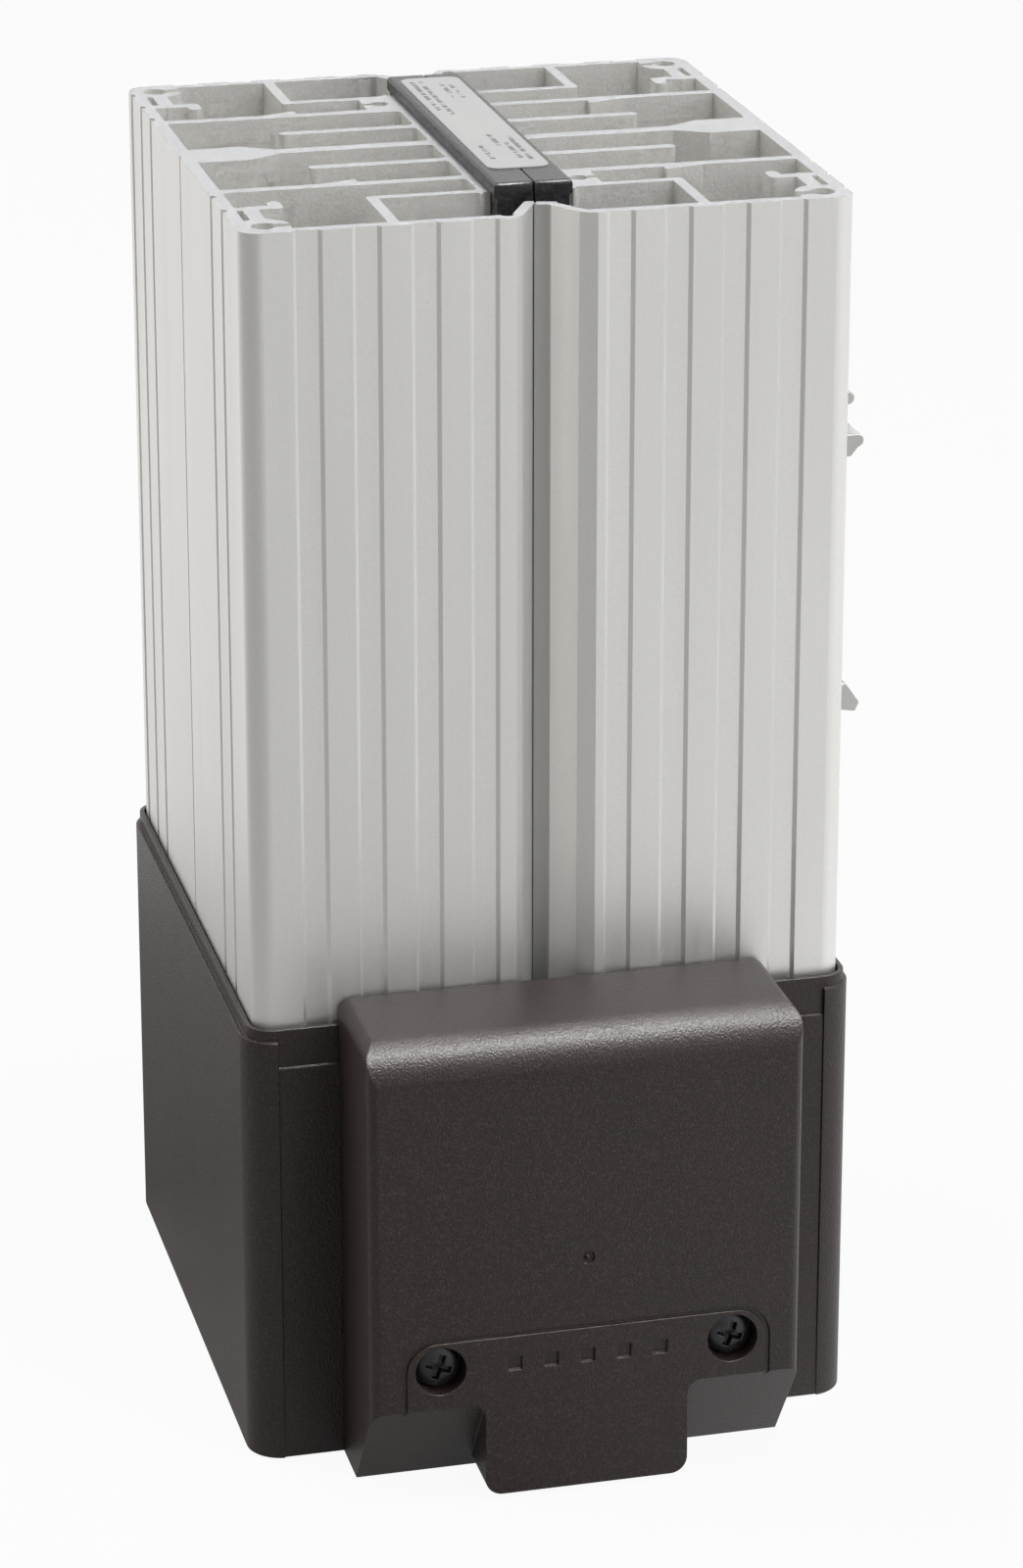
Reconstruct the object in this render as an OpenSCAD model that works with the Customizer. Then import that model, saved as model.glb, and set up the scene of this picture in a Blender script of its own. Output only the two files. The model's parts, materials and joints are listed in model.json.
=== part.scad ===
// Cabinet fan heater: two finned aluminium profile halves that clamp a flat heating element,
// standing in a moulded base with an axial fan, a terminal compartment and a rail clip.
// Millimetres. Origin on the base's underside below the profile's middle, +Z up, front towards -Y.

/* [Heat sink] */
// Width of the profile across its side faces
sink_w = 82.4; // [80:0.2:90]
// Depth of the profile from front face to back face
sink_d = 85.2; // [84:0.2:94]
// Sawn length of the profile halves
sink_len = 140; // [120:1:190]
// Outer corner radius of the profile
sink_corner = 2.8; // [2.4:0.1:5]
// Thickness of the side walls
side_wall = 1.8; // [1.4:0.1:2.2]
// Thickness of the front and back walls
face_wall = 1.9; // [1.5:0.1:2.4]
// Thickness of the plates that press on the element
plate_t = 1.4; // [1:0.1:2]
// Thickness of the short free fins
fin_t = 1.8; // [1:0.1:2.2]
// Thickness of the long fins that reach the side walls
long_fin_t = 1.8; // [1.1:0.1:2.2]
// Thickness of the middle fin
mid_fin_t = 2.4; // [1.8:0.1:3]
// Thickness of the cell walls beside the element
cell_t = 1.5; // [0.8:0.1:1.8]
// Width of the cells beside the element, from the element's face
cell_w = 15.8; // [14:0.2:18]
// Distance of the short fins from the middle plane
short_fin_y = 9.8; // [9:0.1:11]
// Distance of the long fins from the middle plane
long_fin_y = 20; // [19:0.1:21]
// Distance of the cell fins from the middle plane
cell_fin_y = 27.8; // [27:0.1:29]
// Length of the short free fins
short_fin_len = 20.5; // [15:0.5:24]
// Thickness of the solid block in the middle fin that takes the clip screws
mid_block_t = 7.6; // [6.5:0.1:9]
// Length of that block, from the outer face
mid_block_len = 9; // [7:0.5:11]
// Distance of the corner screw channels from the outer faces
port_inset = 3.7; // [3.4:0.1:4.2]
// Radius of the corner screw channels
port_r = 1.65; // [1.4:0.05:1.9]
// Wall around the corner screw channels
port_wall = 2; // [1.2:0.1:2.4]
// Radius of the small screw channels beside the element
channel_r = 1.25; // [1:0.05:1.4]
// Width of the shallow flutes in the front and back
flute_w = 3.9; // [2.5:0.1:4.4]
// Spacing of the flutes
flute_pitch = 7.8; // [7:0.1:8]
// Distance of the first flute from the middle
flute_first = 9.1; // [8.8:0.1:10]
// Depth of the flutes
flute_depth = 0.5; // [0.2:0.05:0.7]
// Half width of the seam groove's mouth, on its steep side
groove_half = 4.4; // [4:0.1:5]
// Half width of the seam groove's floor
groove_floor = 0.8; // [0.7:0.05:1.2]
// Depth of the groove's steep side
groove_depth = 7; // [5:0.1:7.4]
// Depth of the groove's flat side
groove_shallow = 5.6; // [4.5:0.1:7]
// Thickness of the groove's lips
lip_wall = 1.45; // [1.1:0.05:1.7]
// Gap between the halves at the groove's floor
seam_gap = 0.16; // [0.12:0.02:0.4]
// Run of the eased edge at the mouth of the groove's flat side
groove_ease = 1.6; // [0.5:0.1:2]
// Distance of the fine side grooves from the middle plane
side_groove_y = [22.4, 29.9];
// Radius of the fine side grooves
side_groove_r = 0.7; // [0.3:0.05:0.8]
// Width of the wide side groove near the corner
step_w = 1.6; // [1:0.1:2]
// Distance of the wide side groove from the outer face
step_inset = 5.2; // [5:0.1:7]

/* [Heating element] */
// Thickness of the element between the plates
element_t = 10; // [9:0.2:11]
// Width of the element
element_w = 52; // [44:1:54]
// Length of the element
element_len = 106; // [90:1:110]
// Distance of the element above the profile's foot
element_foot = 6; // [4:0.5:10]
// Distance of the cap's ends from the profile's front and back faces
cap_inset = 10.4; // [9.6:0.2:12.6]
// Height of the cap above the profile
cap_proud = 2; // [1.2:0.1:4]
// Free height between the element and the cap's plug
plug_gap = 6; // [2:0.5:16]
// Length of the label
label_len = 54; // [40:1:58]
// Width of the label
label_w = 8.4; // [6:0.2:9]

/* [Base] */
// Height of the outer wall of the base
base_h = 62.3; // [58:0.1:70]
// Height of the inner lip above the outer wall
lip_h = 1.7; // [0.8:0.1:2.5]
// Thickness of the inner lip
lip_t = 0.7; // [0.5:0.05:0.8]
// Thickness of the wall around the profile's foot
rim_wall = 1.4; // [1.2:0.1:2]
// Thickness of the wall around the fan
low_wall = 2; // [1.6:0.1:2.4]
// Corner radius of the base
base_corner = 5; // [4:0.5:6]
// Half width of the recessed front field
field_half = 38.3; // [34:0.1:39]
// Depth of the recessed front field
field_depth = 0.3; // [0.2:0.05:0.5]
// Depth of the notch in the front wall's top edge
field_notch = 3.8; // [2:0.1:5]
// Thickness of the shelf that carries the profile
shelf_t = 2.5; // [2:0.1:4]
// Room between the fan and the shelf
shelf_room = 4; // [3.6:0.1:6]

/* [Terminal compartment] */
// Width of the cover
cover_w = 60; // [56:0.5:70]
// Distance that the cover stands out from the base
cover_proud = 18.4; // [17.5:0.1:22]
// Height of the cover above the base's lip
cover_over = 3.5; // [2:0.1:8]
// Wall of the cover
cover_wall = 2; // [1.5:0.1:2.4]
// Radius of the cover's upper front edge
cover_round = 5.8; // [3:0.1:6]
// Radius of the cover's upright edges
cover_edge = 1.6; // [0.6:0.1:2]
// Radius of the cover's upper side edges
cover_side_round = 2.2; // [1:0.1:3]
// Height of the bevel at the foot of the cover
bevel_h = 14.6; // [10:0.1:15]
// Run of that bevel from front to back
bevel_run = 10.4; // [6:0.1:11]
// Width of the cable chute
chute_w = 28.4; // [24:0.2:34]
// Clearance under the cable chute
chute_foot = 0.6; // [0.4:0.1:3]
// Radius of the fillets between the cable chute and the bevel
chute_fillet = 2.2; // [1:0.1:3]
// Radius of the cable chute's lower corners
chute_round = 2.4; // [1:0.1:3]
// Half distance of the cover screws
screw_x = 20.4; // [19.5:0.1:22]
// Height of the cover screws
screw_z = 20.2; // [19.5:0.1:22]
// Radius of the recesses around the cover screws
recess_r = 3.5; // [3.3:0.1:4]
// Depth of those recesses
recess_depth = 3.2; // [2.6:0.1:4]
// Spacing of the terminals and of the square marks on the cover
pole_pitch = 5.08; // [4.8:0.01:5.2]
// Side of the square marks
mark_side = 2; // [1.4:0.1:3]
// Depth of the square marks
mark_depth = 0.5; // [0.2:0.05:0.6]
// Height of the terminal block's underside
block_z = 37; // [36:0.5:40]
// Height of the terminal block
block_h = 16; // [14:0.5:17]

/* [Fan] */
// Side of the square fan frame
fan_size = 80; // [76:0.5:84]
// Thickness of the fan
fan_t = 25; // [22:0.5:30]
// Spacing of the fan's screw holes
fan_pitch = 71.5; // [69:0.1:71.6]
// Thickness of the intake grille
grille_t = 2.5; // [2.2:0.1:4]
// Number of fan blades
blade_count = 7; // [5:1:9]
// Gap between the blades and the frame
tip_gap = 1; // [0.6:0.1:2]
// Radius of the rotor's hub
hub_r = 17.5; // [16.5:0.1:20]
// Radius of the fan's shaft
shaft_r = 1.5; // [1.2:0.1:2]

/* [Rail clip] */
// Height of the mounting rail that the clip fits
rail_h = 35; // [34:0.5:36]
// Height of the rail's middle line above the floor
rail_z = 114.3; // [108:0.1:124]
// Length of the clip along the rail
clip_len = 40; // [30:1:50]
// Thickness of the clip's plate
clip_t = 1.8; // [1.4:0.1:2.4]
// Reach of the clip's hooks from the profile
hook_reach = 9; // [8.4:0.1:11]

/* [Hidden] */
$fn = 64;
eps = 0.01;
half_w = sink_w / 2;
half_d = sink_d / 2;
plate_in = element_t / 2;
cap_len = sink_d - 2 * cap_inset;
cap_plug = sink_len - element_foot - element_len - plug_gap;
plate_out = plate_in + plate_t;
cell_u = plate_in + cell_w;
port_x = half_w - port_inset;
port_y = half_d - port_inset;
channel_y = (long_fin_y + cell_fin_y) / 2;
channel_u = plate_out + channel_r + 0.6;
channel_block = 2 * channel_r + 1.7;
flute_count = 4;
ease_angle = 25;
lip_slant = (groove_half - groove_floor) / groove_depth;
seam_drop = 0.7;
seam_depth = groove_shallow + seam_drop;
seam_reach = groove_floor + (groove_depth - seam_depth) * lip_slant - seam_gap;
tongue_t = 1.3;
root_r = 0.8;

sink_clear = 0.2;
face_clear = 0.65;
fan_clear = 0.8;
pocket_w = sink_w + 2 * sink_clear;
base_w = max(pocket_w + 2 * rim_wall, fan_size + 2 * (fan_clear + low_wall));
pocket_d = sink_d + 2 * face_clear;
base_d = max(pocket_d + 2 * rim_wall, fan_size + 2 * (fan_clear + low_wall));
fan_z = grille_t;
fan_top = fan_z + fan_t;
shelf_z = fan_top + shelf_room;
sink_z = shelf_z + shelf_t;
sink_top = sink_z + sink_len;
rim_z = base_h + lip_h;
cover_h = rim_z + cover_over;
front_y = -base_d / 2 + field_depth;
notch_y = -pocket_d / 2 - lip_t;
cover_front = front_y - cover_proud;
cover_back_top = -half_d - face_clear + 0.05;
chute_half = chute_w / 2;
seat_wall = 1.6;
post_front = cover_front + recess_depth + seat_wall;
bore_r = fan_size / 2 - 2;
blade_r = bore_r - tip_gap;
lead_r = 0.8;
lead_z = fan_top + 2.2;
lead_y = front_y - 1.8;
lead_x = [20, 22, 24];
lead_top = block_z + block_h + 2.5;
window_x = lead_x[1];
window_w = 7;
face_x = half_w;
hook_gap = 0.5;
poles = [-2, -1, 0, 1, 2];
gate_z = screw_z + 14.6;
gate_r = 0.9;
frame_half = screw_x + 5;
frame_top = screw_z + 4.4;
groove_line = 0.6;

// Terminal block
block_half = 2.5 * pole_pitch + 0.8;
block_front = front_y - 12.7;
pole_y = block_front + 7.7;

// Fan motor, above the fan's lower face
tube_z = fan_t * 0.24;
tube_r = shaft_r + 2.5;
cup_z = 1.6;
cup_h = fan_t * 0.72;
bearing_h = fan_t * 0.12;
stator_h = fan_t * 0.36;

// Screws: radius of the shank, length, radius and height of the head
cover_screw = [1.25, 9, recess_r - 0.5, 2.1];
fan_screw = [2.1, 6, 3.7, 1.6];
sink_screw = [port_r - 0.05, 14, 3, 2.2];
clip_screw = [1.6, 8.8, 3, 2];
foot_screw = [channel_r - 0.05, 8, 2.2, 1.5];
clip_screw_dz = 11;

// Parts at the profile's foot
foot_plate = 0.8;
cartridge_pins = [[-0.2 * element_t, -0.385 * element_w], [0.2 * element_t, 0.385 * element_w]];
cutout_len = 9;
cutout_end = -channel_u - cutout_len - 4;

// Rectangle with round corners, centred
module rounded(w, d, r) {
    difference() {
        square([w, d], center = true);
        for (sx = [0, 1], sy = [0, 1])
            mirror([sx, 0, 0]) mirror([0, sy, 0]) translate([w / 2 - r, d / 2 - r]) difference() {
                square(r + 1);
                circle(r);
            }
    }
}

// Straight wall of thickness t between two points of the section, with round ends
module wall_bar(p, q, t) {
    run = q - p;
    translate(p) rotate(atan2(run[1], run[0])) {
        translate([0, -t / 2]) square([norm(run), t]);
        circle(d = t);
        translate([norm(run), 0]) circle(d = t);
    }
}

// Concave fillet in the corner at p that opens towards +u and towards the sign of side
module root_fillet(p, side) {
    translate(p) mirror([0, side < 0 ? 1 : 0, 0]) difference() {
        translate([-0.3, -0.3]) square(root_r + 0.3);
        translate([root_r, root_r]) circle(root_r);
    }
}

// Fin that grows from the element plate at height y of the section, with filleted roots
module plate_fin(y, len, t) {
    translate([plate_in, y - t / 2]) square([len, t]);
    for (side = [-1, 1]) root_fillet([plate_out, y + side * t / 2], side);
}

// Lip of the seam groove: its outer face slopes from the mouth down to the floor
module groove_lip(side, depth) {
    slope = [depth, groove_half - groove_floor];
    inward = slope / norm(slope) * lip_wall / 2;
    mouth = [groove_half, 0] + inward;
    floor = [groove_floor, depth] + inward;
    wall_bar([mouth[0], side * (half_d - mouth[1])], [floor[0], side * (half_d - floor[1])], lip_wall);
}

// Outer wall, groove lips and element plate of one profile half: u runs out from the seam, y to the back
module half_walls() {
    difference() {
        union() {
            intersection() {
                difference() {
                    rounded(sink_w, sink_d, sink_corner);
                    rounded(sink_w - 2 * side_wall, sink_d - 2 * face_wall, sink_corner - 1.2);
                }
                translate([groove_half + lip_wall / 4, -half_d - 1]) square([half_w, sink_d + 2]);
            }
            groove_lip(-1, groove_depth);
            groove_lip(1, groove_shallow);
        }
        translate([groove_half + groove_ease, half_d])
            polygon([[0, 0], [0, 1], [-groove_half, 1], [-groove_half, -groove_half * tan(ease_angle)]]);
        translate([groove_half + flute_depth, -half_d])
            polygon([[0, 0], [-groove_half, groove_half], [-groove_half, -1], [0, -1]]);
        for (s = [-1, 1]) translate([0, s * (half_d + 1)]) square([sink_w, 2], center = true);
    }
    polygon([
        [groove_floor, half_d - groove_shallow], [-seam_reach, half_d - seam_depth],
        [-seam_reach + tongue_t * lip_slant, half_d - seam_depth - tongue_t],
        [groove_floor + lip_wall, half_d - groove_shallow - tongue_t]
    ]);
    translate([plate_in, -cell_fin_y - cell_t / 2]) square([plate_t, 2 * cell_fin_y + cell_t]);
}

// Fins of one profile half
module half_fins() {
    wall_u = half_w - side_wall / 2;
    for (s = [-1, 1]) {
        plate_fin(s * short_fin_y, short_fin_len - fin_t / 2, fin_t);
        translate([plate_in + short_fin_len - fin_t / 2, s * short_fin_y]) circle(d = fin_t);
        plate_fin(s * long_fin_y, wall_u - plate_in, long_fin_t);
        translate([cell_u, s * long_fin_y]) polygon([[0, 0], [9, 0], [3.2, 1.5], [0, 2.5]]);
        plate_fin(s * cell_fin_y, cell_w, cell_t);
        cell_end = half_d - face_wall / 2;
        wall_bar([cell_u, s * cell_fin_y], [cell_u, s * cell_end], cell_t);
        ledge_y = half_d - 13;
        wall_bar([half_w - 7.3, s * ledge_y], [wall_u, s * ledge_y], fin_t);
        wall_bar([half_w - 7.3, s * ledge_y], [half_w - 7.3, s * (ledge_y - 2)], fin_t);
        wall_bar([port_x, s * ledge_y], [port_x, s * (port_y - port_r - 0.5)], port_wall);
        translate([port_x, s * port_y]) circle(port_r + port_wall);
    }
    plate_fin(0, half_w - mid_block_len - plate_in, mid_fin_t);
    block_u = half_w - mid_block_len;
    polygon([
        [block_u - 4.5, -mid_fin_t / 2], [block_u, -mid_block_t / 2], [wall_u, -mid_block_t / 2],
        [wall_u, mid_block_t / 2], [block_u, mid_block_t / 2], [block_u - 4.5, mid_fin_t / 2]
    ]);
    translate([plate_in, long_fin_y]) square([plate_t + channel_block, cell_fin_y - long_fin_y]);
}

// Section of one profile half
module half_section() {
    difference() {
        union() {
            half_walls();
            half_fins();
        }
        for (s = [-1, 1]) {
            translate([port_x, s * port_y]) circle(port_r);
            translate([port_x - port_r - 3, s * port_y - 0.8]) square([port_r + 3, 1.6]);
            translate([half_w - mid_block_len - 1.2, s * mid_block_t / 2]) circle(0.6);
            for (y = side_groove_y) translate([half_w, s * y]) circle(side_groove_r);
        }
        translate([half_w - 0.45, half_d - step_inset - step_w / 2]) square([1, step_w]);
        translate([half_w, 0]) circle(side_groove_r / 2);
        translate([groove_half + 1.3, -half_d + face_wall + 0.1]) circle(0.9);
        translate([channel_u, channel_y]) circle(channel_r);
        translate([channel_u, channel_y - 0.6]) square([channel_block, 1.2]);
        for (i = [0 : flute_count - 1], s = [-1, 1])
            translate([flute_first + i * flute_pitch, s * half_d]) rotate(90 - 90 * s) flute();
    }
}

// Section of one flute: sloping sides and a flat floor, cut from the face at y = 0
module flute() {
    half = flute_w / 2;
    polygon([
        [-half - 1, 1], [-half + flute_depth, -flute_depth], [half - flute_depth, -flute_depth], [half + 1, 1]
    ]);
}

module heat_sink_left() {
    color("#d2d2cf") translate([0, 0, sink_z]) linear_extrude(sink_len) mirror([1, 0, 0]) half_section();
}

module heat_sink_right() {
    color("#d2d2cf") difference() {
        translate([0, 0, sink_z]) linear_extrude(sink_len) mirror([0, 1, 0]) half_section();
        for (s = [-1, 1])
            translate([half_w - mid_block_len, 0, rail_z + s * clip_screw_dz]) rotate([0, 90, 0])
                cylinder(r = clip_screw[0] + 0.05, h = mid_block_len + 1);
    }
}

// Flat heating element with its two lead sleeves at the foot
module heater_cartridge() {
    color("#b9bcc0") translate([0, 0, sink_z + element_foot]) {
        linear_extrude(element_len) rounded(element_t, element_w, 1);
        for (p = cartridge_pins) translate([p[0], p[1], -2]) cylinder(r = lead_r + 0.6, h = 2 + eps);
    }
}

// One half shell of the cap over the element's slot: flange on the plates and plug between them
module cap_half() {
    plug_t = plate_in - 0.1;
    difference() {
        union() {
            translate([0.05, -cap_len / 2, sink_top - cap_plug]) cube([plug_t - 0.05, cap_len, cap_plug + eps]);
            translate([0.05, -cap_len / 2, sink_top]) cube([plate_in + 0.25, cap_len, cap_proud]);
        }
        translate([plate_in + 0.3 - 0.6, -cap_len / 2 - 1, sink_top + cap_proud - 0.6]) rotate([-90, 0, 0])
            mirror([0, 1, 0]) linear_extrude(cap_len + 2) difference() {
                square(2);
                circle(0.6);
            }
        for (s = [0, 1]) mirror([0, s, 0])
            translate([-1, cap_len / 2 - 0.6, sink_top + cap_proud - 0.6]) rotate([90, 0, 90])
                linear_extrude(element_t + 4) difference() {
                    square(2);
                    circle(0.6);
                }
        translate([plug_t - 1.2, -element_w / 2, sink_top - cap_plug - 1]) mirror([1, 0, 0])
            cube([plug_t, element_w, cap_plug - 3]);
    }
}

module element_cap_left() {
    color("#1f1e1e") mirror([1, 0, 0]) cap_half();
}

module element_cap_right() {
    color("#1f1e1e") cap_half();
}

// Plain sticker on the cap
module element_label() {
    color("#f2f3f4") translate([0, 2.2, sink_top + cap_proud]) linear_extrude(0.15) rounded(label_w, label_len, 1.6);
}

// Outer and inner walls of the base
module base_shell() {
    difference() {
        union() {
            linear_extrude(base_h) rounded(base_w, base_d, base_corner);
            linear_extrude(rim_z)
                rounded(pocket_w + 2 * lip_t, pocket_d + 2 * lip_t, sink_corner + lip_t);
        }
        translate([0, 0, -1]) linear_extrude(shelf_z + 1)
            rounded(base_w - 2 * low_wall, base_d - 2 * low_wall, base_corner - 2);
        translate([0, 0, sink_z]) linear_extrude(rim_z) rounded(pocket_w, pocket_d, sink_corner);
        translate([0, 0, shelf_z - 1]) cylinder(r = bore_r, h = shelf_t + 2);
        translate([-field_half, -base_d / 2 - 1, -1]) cube([2 * field_half, 1 + field_depth, rim_z + 2]);
        translate([-field_half, notch_y - 10, base_h - field_notch]) cube([2 * field_half, 10, 20]);
    }
}

// Pegs, posts and rests that the base carries
module base_mounts() {
    for (sx = [-1, 1]) {
        translate([sx * screw_x, front_y + 0.5, screw_z]) rotate([90, 0, 0])
            cylinder(r = recess_r - 0.3, h = front_y + 0.5 - post_front);
        for (sy = [-1, 1])
            translate([sx * (fan_size / 2 - 10) - 3, sy * (fan_size / 2 - 1.8) - 1.5, fan_top])
                cube([6, 3, shelf_room + eps]);
        translate([sx * (block_half + 0.9) - 0.8, block_front + 3, block_z - 2])
            cube([1.6, front_y + 0.5 - block_front - 3, block_h - 2]);
    }
    translate([-block_half - 1.7, front_y - 5.5, block_z - 2]) cube([2 * block_half + 3.4, 6, 2]);
}

module base_housing() {
    color("#3c3735") difference() {
        union() {
            base_shell();
            base_mounts();
        }
        for (sx = [-1, 1]) {
            translate([sx * screw_x, post_front - 1, screw_z]) rotate([-90, 0, 0]) cylinder(r = 1.3, h = 12);
            translate([sx * window_x - window_w / 2, -base_d / 2 - 1, lead_z - 1.5]) cube([window_w, low_wall + 3, 3]);
            for (sy = [-1, 1]) {
                translate([sx * port_x, sy * port_y, shelf_z - 1]) cylinder(r = port_r + 0.45, h = shelf_t + 2);
                translate([sx * 20 - 5, sy * (base_d / 2 - low_wall + 0.45) - 0.55, 0.8]) cube([10, 1.1, 1.5]);
            }
        }
    }
}

// Side section of the cover: p runs forward from the profile's middle plane, z up
module cover_profile(inset) {
    front = -cover_front - inset;
    slope = bevel_h / bevel_run;
    shift = inset * sqrt(1 + slope * slope);
    back = -front_y;
    polygon([
        [back - inset, inset], [-cover_front - bevel_run + (inset - shift) / slope, inset],
        [front, bevel_h + shift - inset * slope], [front, cover_h - inset],
        [inset > 0 ? back - inset : -cover_back_top, cover_h - inset],
        [inset > 0 ? back - inset : -cover_back_top, rim_z + 0.2], [back - inset, rim_z + 0.2]
    ]);
}

// Extrudes a front-to-back section across the width, centred on the middle plane
module across(width) {
    rotate([90, 0, -90]) translate([0, 0, -width / 2]) linear_extrude(width) children();
}

// Cutter that rounds a long edge: the edge lies at the origin along +Z, material towards -X and -Y
module edge_cut(r, len) {
    translate([-r, -r, -1]) linear_extrude(len + 2) difference() {
        square(r + 1);
        circle(r);
    }
}

// Groove outline of the field around the screws and marks
module field_outline(grow) {
    half = frame_half + grow;
    top = frame_top + grow;
    translate([0, top - 10]) rounded(2 * half, 20, 4.5 + grow);
    translate([-half, bevel_h - 4]) square([2 * half, 8]);
}

module cover_body() {
    difference() {
        across(cover_w) cover_profile(0);
        translate([-cover_w, cover_front, cover_h]) rotate([90, 0, 90]) mirror([1, 0, 0])
            edge_cut(cover_round, 2 * cover_w);
        for (s = [0, 1]) mirror([s, 0, 0]) {
            translate([cover_w / 2, cover_front, 0]) mirror([0, 1, 0]) edge_cut(cover_edge, cover_h);
            translate([cover_w / 2, -half_d + 4, cover_h]) rotate([90, 0, 0])
                edge_cut(cover_side_round, -half_d + 4 - cover_front);
        }
    }
    translate([0, front_y, 0]) rotate([90, 0, 0]) linear_extrude(front_y - cover_front) chute_outline();
}

// Front outline of the cable chute, with fillets where it meets the bevel's upper edge
module chute_outline() {
    difference() {
        translate([-chute_half - chute_fillet, chute_foot])
            square([chute_w + 2 * chute_fillet, bevel_h + 3 - chute_foot]);
        for (s = [0, 1]) mirror([s, 0, 0]) {
            translate([chute_half, chute_foot - 1]) square([chute_fillet + 1, bevel_h - chute_fillet - chute_foot + 1]);
            translate([chute_half + chute_fillet, bevel_h - chute_fillet]) circle(chute_fillet);
            translate([chute_half - chute_round, chute_foot + chute_round]) rotate(-90) difference() {
                square(chute_round + 1);
                circle(chute_round);
            }
        }
    }
}

module terminal_cover() {
    color("#3c3735") difference() {
        cover_body();
        difference() {
            across(cover_w - 2 * cover_wall) cover_profile(cover_wall);
            translate([-cover_w, cover_front + cover_wall, cover_h - cover_wall]) rotate([90, 0, 90])
                mirror([1, 0, 0]) edge_cut(cover_round - cover_wall, 2 * cover_w);
            for (s = [-1, 1]) translate([s * screw_x, cover_front, screw_z]) rotate([-90, 0, 0])
                cylinder(r = recess_r + 1.2, h = recess_depth + seat_wall);
        }
        translate([-chute_half + cover_wall, cover_front + cover_wall, -1])
            cube([chute_w - 2 * cover_wall, cover_proud + 5, bevel_h + 4]);
        for (s = [-1, 1]) translate([s * screw_x, cover_front - 1, screw_z]) rotate([-90, 0, 0]) {
            cylinder(r = recess_r, h = recess_depth + 1);
            cylinder(r = 1.75, h = recess_depth + seat_wall + 2);
        }
        for (i = poles)
            translate([i * pole_pitch - mark_side / 2, cover_front - 1, screw_z - mark_side / 2])
                cube([mark_side, 1 + mark_depth, mark_side]);
        translate([0, cover_front + 0.4, 0]) rotate([90, 0, 0]) linear_extrude(2) difference() {
            intersection() {
                field_outline(groove_line / 2);
                translate([-cover_w, bevel_h - 0.8]) square([2 * cover_w, cover_h]);
            }
            field_outline(-groove_line / 2);
        }
        translate([0, cover_front - 1, gate_z]) rotate([-90, 0, 0]) difference() {
            cylinder(r = gate_r, h = 1.45);
            cylinder(r = gate_r - 0.55, h = 1.5);
        }
    }
}

// Pan-head screw with a cross recess: head above z = 0, shank below
module pan_screw(screw) {
    shank_r = screw[0];
    len = screw[1];
    head_r = screw[2];
    head_h = screw[3];
    difference() {
        union() {
            intersection() {
                cylinder(r = head_r, h = head_h);
                translate([0, 0, head_h - 2.2 * head_r]) sphere(2.2 * head_r);
            }
            translate([0, 0, -len]) cylinder(r = shank_r, h = len + eps);
        }
        for (a = [0, 90]) rotate(a)
            translate([-0.6 * head_r, -0.16 * head_r, 0.35 * head_h]) cube([1.2 * head_r, 0.32 * head_r, head_h]);
        translate([0, 0, 0.25 * head_h]) cylinder(r = 0.25 * head_r, h = head_h);
    }
}

module cover_screws() {
    color("#232324") for (s = [-1, 1])
        translate([s * screw_x, cover_front + recess_depth, screw_z]) rotate([90, 20, 0])
            pan_screw(cover_screw);
}

// Five-pole screw terminal block
module terminal_block() {
    color("#8d9486") difference() {
        translate([-block_half, block_front, block_z]) cube([2 * block_half, front_y - block_front, block_h]);
        translate([-block_half - 1, block_front - eps, block_z + block_h - 4])
            cube([2 * block_half + 2, 3.5, 5]);
        for (i = poles) translate([i * pole_pitch, 0, 0]) {
            translate([0, pole_y, block_z - 1]) cylinder(r = 1.6, h = block_h + 2);
            translate([0, block_front - 1, block_z + block_h / 2]) rotate([-90, 0, 0]) cylinder(r = 1.9, h = 9);
        }
    }
}

module terminal_screws() {
    color("#c9c9c4") for (i = poles)
        translate([i * pole_pitch, block_front + 1, block_z + block_h / 2]) rotate([-90, 0, 0]) difference() {
            cylinder(r = 1.85, h = 4.8);
            translate([-2, -0.3, -1]) cube([4, 0.6, 1.8]);
        }
}

// Intake guard: rings and spokes in a plate that closes the fan space
module intake_grille() {
    ring_w = 2;
    ring_pitch = 6;
    color("#3c3735") difference() {
        union() {
            linear_extrude(grille_t) rounded(base_w - 2 * low_wall - 0.3, base_d - 2 * low_wall - 0.3, base_corner - 2.2);
            for (sx = [-1, 1], sy = [-1, 1])
                translate([sx * 20 - 4, sy * (base_d / 2 - low_wall + 0.15) - 0.5, 1]) cube([8, 1, 1]);
        }
        difference() {
            translate([0, 0, -1]) cylinder(r = bore_r - 1, h = grille_t + 2);
            for (r = [hub_r - 5 : ring_pitch : bore_r - 4]) translate([0, 0, -2]) difference() {
                cylinder(r = r, h = grille_t + 4);
                translate([0, 0, -1]) cylinder(r = r - ring_w, h = grille_t + 6);
            }
            translate([0, 0, -2]) cylinder(r = hub_r - 6, h = grille_t + 4);
            for (a = [45 : 90 : 315]) rotate(a) translate([0, -1.2, -2]) cube([bore_r, 2.4, grille_t + 4]);
        }
        for (sx = [-1, 1], sy = [-1, 1]) translate([sx * fan_pitch / 2, sy * fan_pitch / 2, -1]) {
            cylinder(r = 2.3, h = grille_t + 2);
            cylinder(r = 4, h = 1 + grille_t - 0.7);
        }
    }
}

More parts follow.
